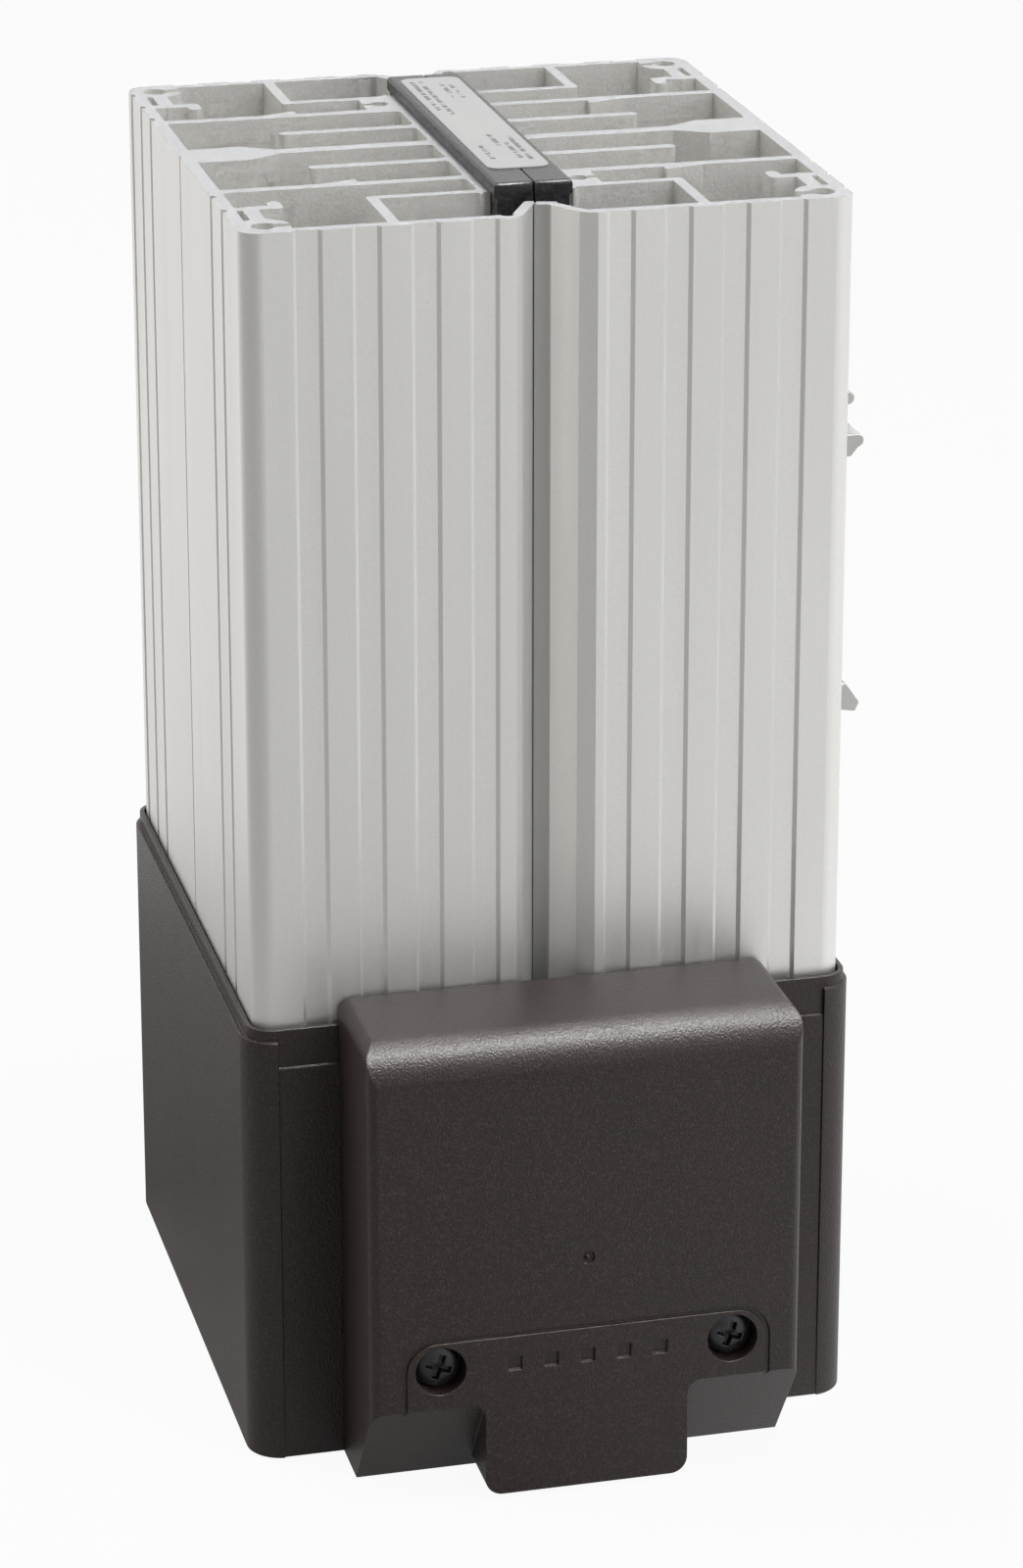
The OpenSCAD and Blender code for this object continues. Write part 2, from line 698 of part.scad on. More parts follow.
// Square fan frame with its tunnel, struts and bearing tube
module fan_frame() {
    flange = 3.6;
    strut_h = 3;
    color("#2b2b2c") translate([0, 0, fan_z]) {
        difference() {
            union() {
                for (z = [0, fan_t - flange]) translate([0, 0, z]) linear_extrude(flange) rounded(fan_size, fan_size, 4);
                cylinder(r = fan_size / 2 - 0.4, h = fan_t);
            }
            translate([0, 0, -1]) cylinder(r = bore_r, h = fan_t + 2);
            for (sx = [-1, 1], sy = [-1, 1])
                translate([sx * fan_pitch / 2, sy * fan_pitch / 2, -1]) cylinder(r = 2.15, h = fan_t + 2);
        }
        difference() {
            union() {
                translate([0, 0, fan_t - 2.5]) cylinder(r = hub_r - 0.5, h = 2.5);
                for (a = [20 : 90 : 290]) rotate(a)
                    translate([5.5, -1.6, fan_t - strut_h]) cube([bore_r - 4.5, 3.2, strut_h]);
                translate([0, 0, tube_z]) cylinder(r = tube_r + 1.2, h = fan_t - tube_z - 1);
            }
            translate([0, 0, tube_z - 1]) cylinder(r = tube_r, h = fan_t - tube_z - 1.5);
        }
    }
}

// Fan rotor: hub cup and cambered blades
module fan_rotor() {
    chord = 19;
    camber_r = 26;
    color("#242425") translate([0, 0, fan_z]) {
        difference() {
            translate([0, 0, cup_z]) cylinder(r = hub_r, h = cup_h);
            translate([0, 0, cup_z + 1.6]) cylinder(r = hub_r - 1.5, h = cup_h);
            translate([0, 0, cup_z - 1]) cylinder(r = shaft_r, h = 5);
        }
        intersection() {
            difference() {
                cylinder(r = blade_r, h = fan_t - 4);
                translate([0, 0, -1]) cylinder(r = hub_r - 0.4, h = fan_t);
            }
            translate([0, 0, cup_z + 0.6]) cylinder(r = blade_r + 1, h = cup_h - 1.2);
            for (i = [0 : blade_count - 1]) rotate(i * 360 / blade_count) rotate([90, 0, 90])
                linear_extrude(blade_r + 2) translate([0, cup_z + cup_h / 2]) rotate(-48) intersection() {
                    translate([0, -camber_r]) difference() {
                        circle(camber_r + 0.7);
                        circle(camber_r - 0.7);
                    }
                    translate([-chord / 2, -8]) square([chord, 16]);
                }
        }
    }
}

module fan_magnet() {
    color("#4a4a4d") translate([0, 0, fan_z + cup_z + 3]) difference() {
        cylinder(r = hub_r - 1.5, h = cup_h - 4);
        translate([0, 0, -1]) cylinder(r = hub_r - 3.3, h = fan_t);
    }
}

module fan_shaft() {
    color("#c4c6c8") translate([0, 0, fan_z + cup_z]) cylinder(r = shaft_r, h = fan_t - cup_z - 3.2);
}

module fan_bearings() {
    tube_end = fan_t - 2.5;
    color("#b4b7ba") translate([0, 0, fan_z])
        for (z = [tube_z + 0.4, tube_end - 1.1 - bearing_h]) translate([0, 0, z]) difference() {
            cylinder(r = tube_r, h = bearing_h);
            translate([0, 0, -1]) cylinder(r = shaft_r + 0.05, h = bearing_h + 2);
        }
}

// Laminated stator with four wound poles around the bearing tube
module fan_stator() {
    core_r = hub_r - 4.1;
    color("#a8642f") translate([0, 0, fan_z + tube_z + 2]) difference() {
        union() {
            cylinder(r = tube_r + 3, h = stator_h);
            intersection() {
                cylinder(r = core_r, h = stator_h);
                for (a = [0, 90]) rotate(a) translate([-3.2, -core_r, 0]) cube([6.4, 2 * core_r, stator_h]);
            }
            translate([0, 0, 2]) difference() {
                cylinder(r = core_r, h = stator_h - 4);
                translate([0, 0, -1]) cylinder(r = core_r - 1.6, h = stator_h);
                for (a = [45, 135]) rotate(a) translate([-1.2, -core_r - 1, -1]) cube([2.4, 2 * core_r + 2, stator_h]);
            }
        }
        translate([0, 0, -1]) cylinder(r = tube_r + 1.2, h = stator_h + 2);
    }
}

module fan_screws() {
    color("#c9c9c4") for (sx = [-1, 1], sy = [-1, 1])
        translate([sx * fan_pitch / 2, sy * fan_pitch / 2, grille_t - 0.7]) rotate([180, 0, 0])
            pan_screw(fan_screw);
}

module sink_screws() {
    color("#c9c9c4") for (sx = [-1, 1], sy = [-1, 1])
        translate([sx * port_x, sy * port_y, shelf_z]) rotate([180, 0, 0]) pan_screw(sink_screw);
}

// Section of the rail clip: q runs out from the profile's side, z up from the rail's middle line
module clip_section() {
    inner = rail_h / 2 + hook_gap;
    seat = hook_reach - 4;
    translate([0, -inner - 4]) square([clip_t, 2 * inner + 12]);
    for (s = [0, 1]) mirror([0, s, 0]) {
        translate([0, inner - 3.4]) square([seat, 2]);
        translate([0, inner - 3.4]) square([clip_t + 1, 4]);
    }
    wall_bar([clip_t / 2, inner + 0.9], [hook_reach - 0.9, inner + 0.9], 1.8);
    translate([seat + 1.3, inner - 1.3]) polygon([[0, 0], [0.9, 0], [2.2, 1.6], [0, 1.6]]);
    polygon([
        [0, -inner - 1.8], [clip_t, -inner - 1.8], [hook_reach - 0.4, -inner - 2.9], [hook_reach + 0.2, -inner - 1.6],
        [seat + 2.2, -inner + 1.3], [seat + 1.3, -inner + 1.3], [seat + 1.3, -inner], [0, -inner]
    ]);
    wall_bar([clip_t / 2, inner + 7.1], [hook_reach - 2.4, inner + 7.1], 1.8);
}

module din_clip() {
    color("#c6c6c2") difference() {
        translate([face_x, 0, rail_z]) rotate([90, 0, 0]) translate([0, 0, -clip_len / 2])
            linear_extrude(clip_len) clip_section();
        for (s = [-1, 1]) translate([face_x - 1, 0, rail_z + s * clip_screw_dz]) rotate([0, 90, 0])
            cylinder(r = clip_screw[0] + 0.15, h = clip_t + 2);
    }
}

module clip_screws() {
    color("#c9c9c4") for (s = [-1, 1])
        translate([face_x + clip_t, 0, rail_z + s * clip_screw_dz]) rotate([0, 90, 0])
            pan_screw(clip_screw);
}

// Overheat cut-out with its fixing tab, flat against the profile's foot
module thermal_cutout() {
    color("#6d4a34") difference() {
        union() {
            translate([cutout_end, channel_y - 3.3, sink_z - 3.6]) cube([cutout_len, 6.6, 3.6]);
            translate([cutout_end + cutout_len - 1, channel_y - 2.6, sink_z - foot_plate]) cube([8, 5.2, foot_plate]);
        }
        translate([-channel_u, channel_y, sink_z - 2]) cylinder(r = channel_r + 0.2, h = 3);
    }
}

module cutout_screw() {
    color("#c9c9c4") translate([-channel_u, channel_y, sink_z - foot_plate]) rotate([180, 0, 0])
        pan_screw(foot_screw);
}

// Ring lug with its wire barrel, flat against the profile's foot
module earth_lug() {
    color("#c7b08a") difference() {
        union() {
            translate([channel_u, -channel_y, sink_z - foot_plate]) cylinder(r = 3, h = foot_plate);
            translate([channel_u, -channel_y - 1.6, sink_z - foot_plate]) cube([5.5, 3.2, foot_plate]);
            translate([channel_u + 4, -channel_y, sink_z - 2]) rotate([0, 90, 0]) cylinder(r = 1.5, h = 5);
        }
        translate([channel_u, -channel_y, sink_z - 2]) cylinder(r = channel_r + 0.2, h = 3);
        translate([channel_u + 3, -channel_y, sink_z - 2]) rotate([0, 90, 0]) cylinder(r = lead_r, h = 8);
    }
}

module earth_screw() {
    color("#c9c9c4") translate([channel_u, -channel_y, sink_z - foot_plate]) rotate([180, 0, 0])
        pan_screw(foot_screw);
}

// Round wire through a list of points
module wire(points) {
    for (i = [0 : len(points) - 2]) {
        run = points[i + 1] - points[i];
        flat = norm([run[0], run[1]]);
        translate(points[i]) rotate([0, atan2(flat, run[2]), atan2(run[1], run[0])]) cylinder(r = lead_r, h = norm(run));
    }
    for (i = [1 : 1 : len(points) - 2]) translate(points[i]) sphere(lead_r + 0.05);
}

// First stretch of a lead: up out of pole number i, across to x, down the wall and in through the window
function lead_start(i, x, rise) = [
    [i * pole_pitch, pole_y, block_z + block_h - 3],
    [i * pole_pitch, pole_y, lead_top + rise],
    [x, pole_y, lead_top + rise],
    [x, lead_y, lead_top + rise],
    [x, lead_y, lead_z]
];

module element_leads() {
    foot = sink_z + element_foot - 2;
    color("#d8d4cc") {
        wire(concat(lead_start(-1, -lead_x[2], 2), [
            [-lead_x[2], channel_y - 1.4, lead_z], [-lead_x[2], channel_y - 1.4, sink_z - 1.8],
            [cutout_end, channel_y - 1.4, sink_z - 1.8]
        ]));
        wire(concat(lead_start(-2, -lead_x[1], 0), [
            [-lead_x[1], cartridge_pins[0][1], lead_z], [cartridge_pins[0][0], cartridge_pins[0][1], lead_z],
            [cartridge_pins[0][0], cartridge_pins[0][1], foot]
        ]));
        wire([
            [cutout_end, channel_y + 1.4, sink_z - 1.8], [cutout_end - 3, channel_y + 1.4, sink_z - 1.8],
            [cutout_end - 3, channel_y + 1.4, lead_z], [cutout_end - 3, channel_y + 7, lead_z], [cartridge_pins[1][0], channel_y + 7, lead_z],
            [cartridge_pins[1][0], cartridge_pins[1][1], lead_z], [cartridge_pins[1][0], cartridge_pins[1][1], foot]
        ]);
    }
}

module fan_leads() {
    color("#b53a2e") {
        wire(concat(lead_start(0, lead_x[2], 4), [[lead_x[2], -8, lead_z], [10, -8, lead_z], [10, -8, fan_top]]));
        wire(concat(lead_start(1, lead_x[1], 2), [[lead_x[1], -12, lead_z], [8, -12, lead_z], [8, -12, fan_top]]));
    }
}

module earth_lead() {
    color("#8fae3c") wire(concat(lead_start(2, lead_x[0], 0), [
        [lead_x[0], -channel_y, lead_z], [channel_u + 9.5, -channel_y, sink_z - 2], [channel_u + 6, -channel_y, sink_z - 2]
    ]));
}

heat_sink_left();
heat_sink_right();
heater_cartridge();
element_cap_left();
element_cap_right();
element_label();
base_housing();
terminal_cover();
cover_screws();
terminal_block();
terminal_screws();
intake_grille();
fan_frame();
fan_rotor();
fan_magnet();
fan_shaft();
fan_bearings();
fan_stator();
fan_screws();
sink_screws();
din_clip();
clip_screws();
thermal_cutout();
cutout_screw();
earth_lug();
earth_screw();
element_leads();
fan_leads();
earth_lead();
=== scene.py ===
# %% [markdown]
# # Cabinet fan heater
# This lesson dresses a finished CAD part for a product picture. The heater is two sawn aluminium
# profiles around a flat element, in a dark moulded base with a terminal cover on its front.
# The CAD model already has every size, so nothing here moves: this file only softens edges, gives
# each surface its finish, and sets up a small photo studio.

# %% Load the frame
import json
import math

import bmesh
import bpy
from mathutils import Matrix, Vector


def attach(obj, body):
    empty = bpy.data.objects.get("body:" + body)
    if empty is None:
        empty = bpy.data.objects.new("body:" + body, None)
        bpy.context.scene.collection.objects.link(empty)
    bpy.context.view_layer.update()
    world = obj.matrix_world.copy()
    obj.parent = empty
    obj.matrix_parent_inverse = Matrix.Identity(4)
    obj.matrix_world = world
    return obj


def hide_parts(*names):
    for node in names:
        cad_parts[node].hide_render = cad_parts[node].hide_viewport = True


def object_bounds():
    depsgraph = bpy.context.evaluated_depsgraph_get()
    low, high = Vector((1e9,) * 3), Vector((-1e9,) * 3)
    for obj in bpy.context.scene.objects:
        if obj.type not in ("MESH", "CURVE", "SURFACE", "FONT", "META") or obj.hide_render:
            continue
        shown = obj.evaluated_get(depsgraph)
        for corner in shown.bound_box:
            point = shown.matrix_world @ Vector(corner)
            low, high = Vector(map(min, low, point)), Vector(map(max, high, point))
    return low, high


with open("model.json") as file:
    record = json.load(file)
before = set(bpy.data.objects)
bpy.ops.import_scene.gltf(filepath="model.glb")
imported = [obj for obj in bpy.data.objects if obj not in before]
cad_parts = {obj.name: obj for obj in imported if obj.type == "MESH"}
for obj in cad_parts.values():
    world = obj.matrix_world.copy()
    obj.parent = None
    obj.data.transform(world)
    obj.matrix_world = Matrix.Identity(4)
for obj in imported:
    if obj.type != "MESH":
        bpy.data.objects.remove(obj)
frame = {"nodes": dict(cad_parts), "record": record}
nodes = frame["nodes"]
cad_low, cad_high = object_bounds()
MM = 0.001
scene = bpy.context.scene
scene.view_settings.view_transform = "Standard"
for placeholder in list(bpy.data.materials):
    bpy.data.materials.remove(placeholder)
print("CAD box in mm:", [round((b - a) / MM, 2) for a, b in zip(cad_low, cad_high)])

# %% [markdown]
# ## Camera
# The picture was taken from the front left, a little above the heater, with a long lens, so the
# upright edges stay nearly parallel. A camera that simply aims at the middle would make them lean.
# A small downward lens shift lets the camera tilt less, as an architecture photographer would do.

# %% Set the camera
LOOK_AT = Vector((5.0, 0.0, 107.6)) * MM
CAMERA_YAW = math.radians(14.0)
CAMERA_PITCH = math.radians(18.8)
CAMERA_DISTANCE = 715 * MM
SENSOR_WIDTH = 36
FOCAL_LENGTH = 116.1
SHIFT_DOWN = 0.12
NEAREST_SEEN = 10 * MM

aim = Vector((
    math.sin(CAMERA_YAW) * math.cos(CAMERA_PITCH),
    math.cos(CAMERA_YAW) * math.cos(CAMERA_PITCH),
    -math.sin(CAMERA_PITCH),
))
lens = bpy.data.cameras.new("camera")
lens.sensor_width = SENSOR_WIDTH
lens.lens = FOCAL_LENGTH
lens.shift_y = -SHIFT_DOWN
lens.clip_start = NEAREST_SEEN
camera = bpy.data.objects.new("camera", lens)
scene.collection.objects.link(camera)
camera.location = LOOK_AT - CAMERA_DISTANCE * aim
camera.rotation_euler = aim.to_track_quat("-Z", "Y").to_euler()
scene.camera = camera
print("camera at, in mm:", [round(v / MM) for v in camera.location])

# %% [markdown]
# ## Nodes
# Every finish below is a small network of nodes. Writing each node out by hand would hide the idea
# behind the typing, so one helper adds a node and fills its sockets. Two more start a finish and
# end it. What is the same all over a surface is set on the shader itself, and only what changes from
# place to place gets a wire.

# %% Add nodes, start and wire a finish
def add(tree, kind, sockets=None, **settings):
    """Adds a shader node; a socket's value may be a number, a colour or another node's output."""
    node = tree.nodes.new("ShaderNode" + kind)
    for name, value in settings.items():
        setattr(node, name, value)
    for name, value in (sockets or {}).items():
        if isinstance(value, bpy.types.NodeSocket):
            tree.links.new(value, node.inputs[name])
        else:
            node.inputs[name].default_value = value
    return node


def start_finish(name, **constants):
    """The nodes and the shader of a new material, with the shader's constant values set."""
    material = bpy.data.materials.new(name)
    material.use_nodes = True
    shader = material.node_tree.nodes["Principled BSDF"]
    for socket, value in constants.items():
        shader.inputs[socket].default_value = value
    return material.node_tree, shader


def wire_up(tree, shader, colour, normal, roughness=None):
    """Leads a finish's colour, bumped normal and roughness to the shader."""
    tree.links.new(colour, shader.inputs["Base Color"])
    tree.links.new(normal, shader.inputs["Normal"])
    if roughness is not None:
        tree.links.new(roughness, shader.inputs["Roughness"])


print("finishes are made in", bpy.app.version_string)

# %% [markdown]
# ## Patterns
# Real surfaces are never even, and their unevenness has a size: a grain of a quarter of a millimetre,
# a cloud of a few centimetres. So the patterns take that size in millimetres, and they lie on the
# object's own coordinates. An image wrapped around each piece would need seams, and noise needs none.

# %% Coordinates, noise and cells
def place(tree, x=1.0, y=1.0, z=1.0):
    """Coordinates in metres on the object; a small factor draws a pattern out along that axis."""
    coordinates = add(tree, "TexCoord").outputs["Object"]
    return add(tree, "VectorMath", {0: coordinates, 1: (x, y, z)}, operation="MULTIPLY").outputs[0]


def noise(tree, where, grain_mm, detail=2.0):
    """Soft noise whose spots are about grain_mm across."""
    sockets = {"Vector": where, "Scale": 1 / (grain_mm * MM), "Detail": detail}
    return add(tree, "TexNoise", sockets).outputs["Fac"]


def cells(tree, where, grain_mm, feature="F1", output="Distance"):
    """Cells about grain_mm across, as grains or pits."""
    sockets = {"Vector": where, "Scale": 1 / (grain_mm * MM)}
    return add(tree, "TexVoronoi", sockets, feature=feature).outputs[output]


print("patterns: noise and cells, sizes in mm")

# %% [markdown]
# ## Ranges, mixes and bumps
# A pattern gives numbers between 0 and 1. These helpers turn them into what a surface needs: a range
# of roughness, a colour between two others, a choice between two finishes, or a bump of a real depth.

# %% Turn patterns into tone, gloss and bump
LESS_GREEN, LESS_BLUE = 0.35, 1.3


def maths(tree, operation, first, second=0.0):
    """One step of arithmetic; a comparison such as LESS_THAN gives 1 or 0."""
    return add(tree, "Math", {0: first, 1: second}, operation=operation).outputs[0]


def spread(tree, value, low, high, start=0.3, end=0.7):
    """Maps a value from start..end to low..high."""
    sockets = {"Value": value, "From Min": start, "From Max": end, "To Min": low, "To Max": high}
    return add(tree, "MapRange", sockets).outputs["Result"]


def choose(tree, factor, first, second):
    """Number between first and second; a Mix node keeps its numbers in sockets 2 and 3."""
    return add(tree, "Mix", {0: factor, 2: first, 3: second}).outputs[0]


def choose_normal(tree, factor, first, second):
    """Bumped normal between first and second; a Mix node keeps its vectors in sockets 4 and 5."""
    return add(tree, "Mix", {0: factor, 4: first, 5: second}, data_type="VECTOR").outputs[1]


def blend(tree, factor, first, second):
    """Colour between first and second; a Mix node keeps its colours in sockets 6 and 7."""
    return add(tree, "Mix", {0: factor, 6: first, 7: second}, data_type="RGBA").outputs[2]


def relief(tree, height, depth_mm, strength, below=None):
    """Bump of that depth, on top of the bump below it."""
    sockets = {"Height": height, "Distance": depth_mm * MM, "Strength": strength}
    if below is not None:
        sockets["Normal"] = below
    return add(tree, "Bump", sockets).outputs["Normal"]


def grey(value, warm=0.0):
    """Grey that is warmer by that share: it has less blue, and a trace less green."""
    return (value, value * (1 - LESS_GREEN * warm), value * (1 - LESS_BLUE * warm), 1)


print("a warm grey, for example:", [round(c, 3) for c in grey(0.5, 0.03)])

# %% [markdown]
# ## Aluminium profiles
# The halves are extruded, etched and anodised: the long faces are satin, with faint lines along the
# length and a fine grain. The walls of the air channels stay as they left the die, coarser and with
# small glints, which come partly from shinier facets and partly from painted glints on lighter facets.
# The ends are fresh saw cuts, rough and a little bluer. The narrow floor of the seam is painted darker:
# painted shade for the shadow that falls in the slit. Four materials would need the mesh cut up into
# four sets of faces, so one material does it all: it looks at which way the surface faces to find the
# cuts, and at where it lies in the section to find the channels and the painted seam shade.

# %% Find the cuts, channels and seam of a profile
CUT_FACING = 0.9
SEAM_PLATE = 6.1 * MM
SIDE_INSIDE = 39.5 * MM
FACE_INSIDE = 40.8 * MM
# How far from the seam's plane the painted seam shade reaches.
SEAM_SHADE_REACH = 1.0 * MM


def from_middle(tree):
    """Distance from the seam's plane, and from the plane across it through the middle."""
    axes = add(tree, "SeparateXYZ", {0: place(tree)})
    return (maths(tree, "ABSOLUTE", axes.outputs["X"]), maths(tree, "ABSOLUTE", axes.outputs["Y"]))


def on_cut(tree):
    """1 on faces that look straight up or down, 0 on the others."""
    facing = add(tree, "NewGeometry").outputs["True Normal"]
    upward = add(tree, "SeparateXYZ", {0: facing}).outputs["Z"]
    return maths(tree, "GREATER_THAN", maths(tree, "ABSOLUTE", upward), CUT_FACING)


def in_channels(tree):
    """1 on the walls of the air channels, 0 on the outside of the profile."""
    across, along = from_middle(tree)
    past_plate = maths(tree, "GREATER_THAN", across, SEAM_PLATE)
    short_of_side = maths(tree, "LESS_THAN", across, SIDE_INSIDE)
    short_of_face = maths(tree, "LESS_THAN", along, FACE_INSIDE)
    inside = maths(tree, "MULTIPLY", short_of_side, short_of_face)
    return maths(tree, "MULTIPLY", past_plate, inside)


def in_painted_seam_shade(tree):
    """1 on the narrow floor of the seam, where painted shade darkens the satin; 0 elsewhere."""
    return maths(tree, "LESS_THAN", from_middle(tree)[0], SEAM_SHADE_REACH)


print("channels lie between", SEAM_PLATE / MM, "and", SIDE_INSIDE / MM, "mm from the seam")

# %% [markdown]
# ## Satin, channel and sawn metal
# Each of the three surfaces needs a tone, a gloss and a bump. The patterns are made once and shared:
# lines along the extrusion, a fine grain, wide clouds, saw teeth, and small facets; the brightest are
# shinier and are also painted lighter as painted glints. Then the switches from the cell above choose
# between the three.

# %% Satin, channel and sawn aluminium
LINE_MM, GRAIN_MM, CLOUD_MM, TOOTH_MM, FACET_MM = 0.5, 0.28, 30, 0.35, 0.3
DRAWN_OUT, CLOUD_STRETCH, TOOTH_STRETCH = 0.004, 0.3, 0.12
SATIN_METALLIC = 0.85
SATIN_ROUGH, WALL_ROUGH, SAWN_ROUGH = (0.38, 0.48), (0.62, 0.28), (0.66, 0.8)
# The first range picks the facets that are painted lighter as glints, the second the shinier ones.
PAINTED_GLINT_FACETS, SHINY_FACETS = (0.7, 1.0), (0.72, 0.92)
# The second tone darkens the seam's floor as painted shade.
GRAIN_TONE, SEAM_SHADE_TONE = 0.75, 0.55


def profile_finish(name, colour, channel, sawn):
    """Extruded metal, with the tone of its satin outside, its channels and its sawn ends."""
    tree, shader = start_finish(name, Metallic=SATIN_METALLIC)
    lines = noise(tree, place(tree, z=DRAWN_OUT), LINE_MM, 3)
    grain = noise(tree, place(tree), GRAIN_MM)
    cloud = noise(tree, place(tree, z=CLOUD_STRETCH), CLOUD_MM)
    teeth = noise(tree, place(tree, x=TOOTH_STRETCH), TOOTH_MM, 3)
    facets = cells(tree, place(tree), FACET_MM, output="Color")
    facet = add(tree, "SeparateColor", {0: facets}).outputs["Red"]
    painted_glint_facet = spread(tree, facet, 0.0, 1.0, *PAINTED_GLINT_FACETS)
    is_cut, is_channel, painted_seam_shade = on_cut(tree), in_channels(tree), in_painted_seam_shade(tree)

    satin = spread(tree, cloud, 0.0, 1.0)
    satin = blend(tree, satin, grey(colour * 0.96, 0.028), grey(colour * 1.03, 0.024))
    satin = blend(tree, spread(tree, grain, 0.0, 0.2), satin, grey(colour * GRAIN_TONE, 0.025))
    # Painted shade: the seam's floor is toned darker for the shadow in the slit.
    satin = blend(tree, painted_seam_shade, satin, grey(colour * SEAM_SHADE_TONE, 0.03))
    # Painted glints: on the channel walls the brightest facets get a lighter colour as well as a lower
    # roughness.
    rough_wall = blend(tree, painted_glint_facet, grey(channel, 0.03), grey(channel * 1.15, 0.015))
    fresh = blend(tree, facet, grey(sawn * 0.86, -0.012), grey(sawn, -0.016))
    tone = blend(tree, is_cut, blend(tree, is_channel, satin, rough_wall), fresh)

    satin_rough = spread(tree, lines, *SATIN_ROUGH)
    wall_rough = spread(tree, facet, *WALL_ROUGH, *SHINY_FACETS)
    fresh_rough = spread(tree, facet, *SAWN_ROUGH, 0.0, 1.0)
    gloss = choose(tree, is_channel, satin_rough, wall_rough)
    gloss = choose(tree, is_cut, gloss, fresh_rough)

    satin_bump = relief(tree, grain, 0.02, 0.35, relief(tree, lines, 0.02, 0.4))
    wall_bump = relief(tree, facet, 0.045, 0.6, relief(tree, lines, 0.04, 0.6))
    fresh_bump = relief(tree, facet, 0.05, 0.4, relief(tree, teeth, 0.04, 0.5))
    normal = choose_normal(tree, is_channel, satin_bump, wall_bump)
    normal = choose_normal(tree, is_cut, normal, fresh_bump)
    wire_up(tree, shader, tone, normal, gloss)


PROFILES = {
    # tone of the satin outside, of the channels and of the sawn ends
    "sink_aluminium": (0.885, 0.77, 0.44),
    "clip_metal": (0.55, 0.55, 0.5),
}
for name, tones in PROFILES.items():
    profile_finish(name, *tones)
print("profile finishes:", list(PROFILES))

# %% [markdown]
# ## Moulded plastics
# The base and the cover are glass-filled plastic from a spark-eroded mould. The erosion leaves a
# fine dull grain that breaks up every highlight, and the fibres leave faint cloudy flow marks.
# A plain colour would look like rubber, so pits, clouds and changes of gloss come from noise.

# %% Moulded plastic finishes
FLOW_MM, FLOW_STRETCH = 14, 0.6
SPECK_SHARE, SPECK_FROM, SPECK_FULL = 0.8, 0.5, 0.72


def moulded_finish(name, colour, rough, pit_mm, pit_depth, flow):
    """Plastic from an eroded mould: pits of that size and depth, and flow marks of that strength."""
    tree, shader = start_finish(name)
    pits = cells(tree, place(tree), pit_mm, feature="SMOOTH_F1")
    dust = noise(tree, place(tree), pit_mm)
    clouds = noise(tree, place(tree, z=FLOW_STRETCH), FLOW_MM, 4)
    dark = [c * (1 - flow) for c in colour] + [1]
    light = [c * (1 + flow) for c in colour] + [1]
    speck = [min(1.0, c * 2.0 + 0.02) for c in colour] + [1]
    tone = blend(tree, spread(tree, clouds, 0.0, 1.0), dark, light)
    tone = blend(tree, spread(tree, dust, 0.0, SPECK_SHARE, SPECK_FROM, SPECK_FULL), tone, speck)
    gloss = spread(tree, dust, rough - 0.06, rough + 0.08)
    grain = relief(tree, dust, pit_depth, 0.7, relief(tree, pits, pit_depth, 0.9))
    wire_up(tree, shader, tone, grain, gloss)


PLASTICS = {
    # colour, roughness, size and depth of the pits in millimetres, strength of the flow marks
    "base_plastic": ((0.0195, 0.0132, 0.0112), 0.4, 0.27, 0.065, 0.12),
    "cap_plastic": ((0.012, 0.012, 0.013), 0.3, 0.5, 0.008, 0.12),
    "fan_plastic": ((0.02, 0.02, 0.021), 0.42, 0.5, 0.01, 0.12),
    "block_plastic": ((0.27, 0.3, 0.24), 0.45, 0.4, 0.008, 0.05),
    "cutout_plastic": ((0.15, 0.068, 0.034), 0.35, 0.5, 0.006, 0.12),
    "lead_white": ((0.68, 0.65, 0.6), 0.5, 0.3, 0.006, 0.04),
    "lead_red": ((0.45, 0.042, 0.028), 0.4, 0.3, 0.004, 0.05),
    "lead_green": ((0.27, 0.42, 0.045), 0.4, 0.3, 0.004, 0.05),
    "magnet_ferrite": ((0.06, 0.06, 0.065), 0.6, 0.2, 0.02, 0.12),
}
for name, values in PLASTICS.items():
    moulded_finish(name, *values)
print("plastic finishes:", len(PLASTICS))

# %% [markdown]
# ## Small metal parts
# Screws, lugs and the shaft are plated or bare metal. Plating is never even: it shows a soft mottle
# and small dull spots. The cover screws are blackened, so they stay dark and only their edges shine.

# %% Plated and bare metal finishes
SCRATCH_MM, SCRATCH_STRETCH, SCRATCH_DEPTH_MM = 0.18, 0.15, 0.01
DULL_SHARE = 0.78


def plated_finish(name, colour, rough, spot_mm, metallic):
    """Metal with a soft mottle of dull spots about spot_mm across, and fine scratches."""
    tree, shader = start_finish(name, Metallic=metallic)
    mottle = noise(tree, place(tree), spot_mm, 3)
    scratch = noise(tree, place(tree, x=SCRATCH_STRETCH), SCRATCH_MM)
    dull = [c * DULL_SHARE for c in colour] + [1]
    tone = blend(tree, spread(tree, mottle, 0.0, 1.0), dull, [*colour, 1])
    gloss = spread(tree, mottle, rough - 0.07, rough + 0.1)
    wire_up(tree, shader, tone, relief(tree, scratch, SCRATCH_DEPTH_MM, 0.4), gloss)


